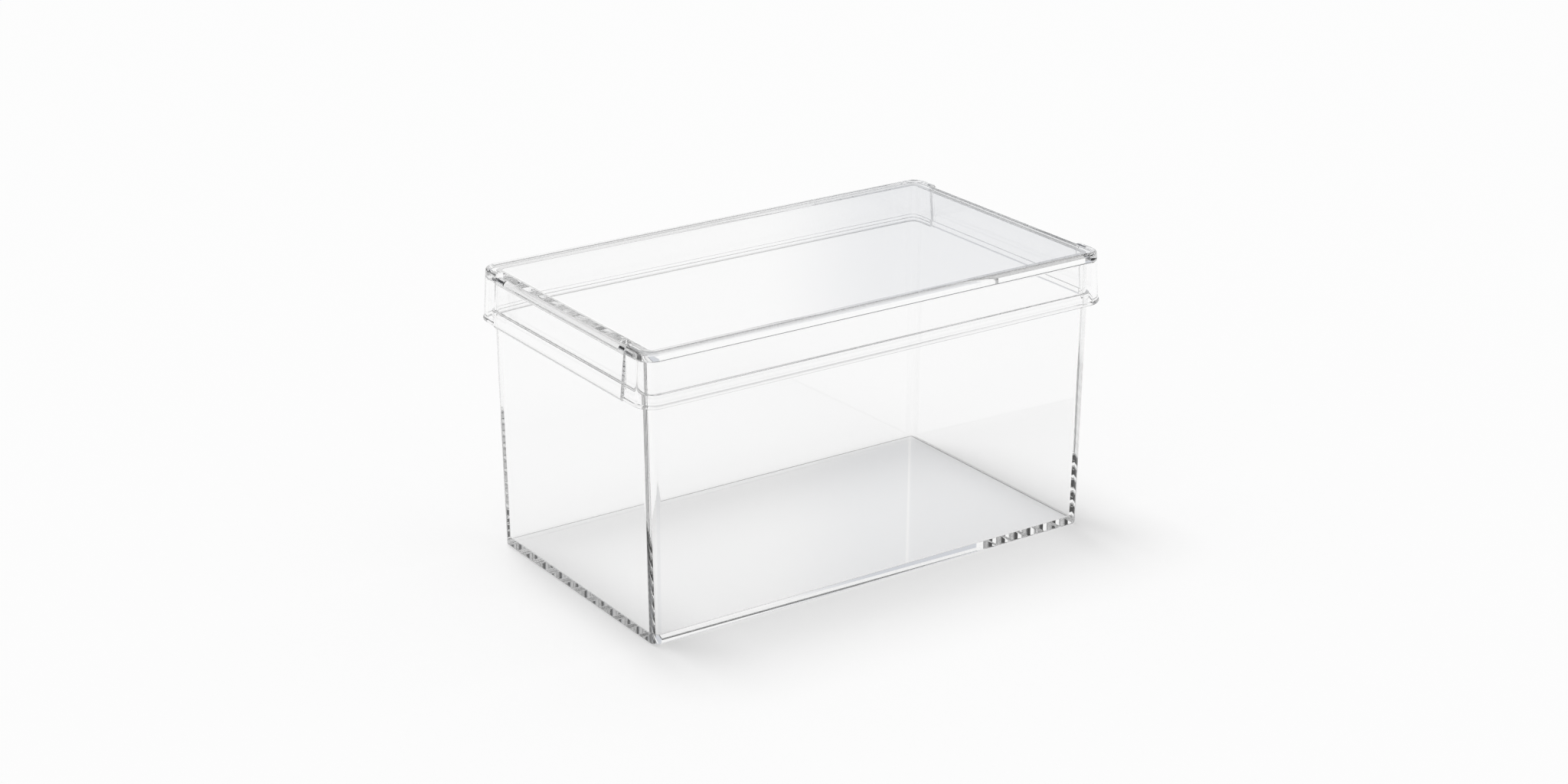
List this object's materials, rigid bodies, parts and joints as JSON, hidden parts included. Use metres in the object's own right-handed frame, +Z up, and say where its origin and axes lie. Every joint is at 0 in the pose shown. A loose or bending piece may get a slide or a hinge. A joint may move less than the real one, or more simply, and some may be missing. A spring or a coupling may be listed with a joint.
{
  "type": "acrylic storage box with lid",
  "caption": "Clear rectangular storage box with a lift-off lid and a hinged flap at each short end.",
  "frame": {"origin": "centre of the base, on the surface that the box stands on", "axes": "+Z up, +X along the long side, +Y across the box to its back"},
  "size_m": [0.265, 0.1542, 0.1437],
  "materials": {
    "clear_tub": "clear polished acrylic",
    "clear_lid": "clear polished acrylic",
    "clear_flap": "clear polished acrylic",
    "pin_steel": "bright drawn wire"
  },
  "bodies": {
    "tub": {"tub": "clear_tub"},
    "lid": {"lid": "clear_lid", "pin_left_front": "pin_steel", "pin_left_back": "pin_steel", "pin_right_front": "pin_steel", "pin_right_back": "pin_steel"},
    "flap_left": {"flap_left": "clear_flap"},
    "flap_right": {"flap_right": "clear_flap"}
  },
  "joints": [
    {"name": "lid_lift", "type": "slide", "parent": "tub", "child": "lid", "axis": [0, 0, 1], "range_m": [0, 0.09]},
    {"name": "flap_left_hinge", "type": "hinge", "parent": "lid", "child": "flap_left", "pos_m": [-0.1282, 0, 0.1399], "axis": [0, 1, 0], "range_deg": [0, 150]},
    {"name": "flap_right_hinge", "type": "hinge", "parent": "lid", "child": "flap_right", "pos_m": [0.1282, 0, 0.1399], "axis": [0, -1, 0], "range_deg": [0, 150]}
  ]
}
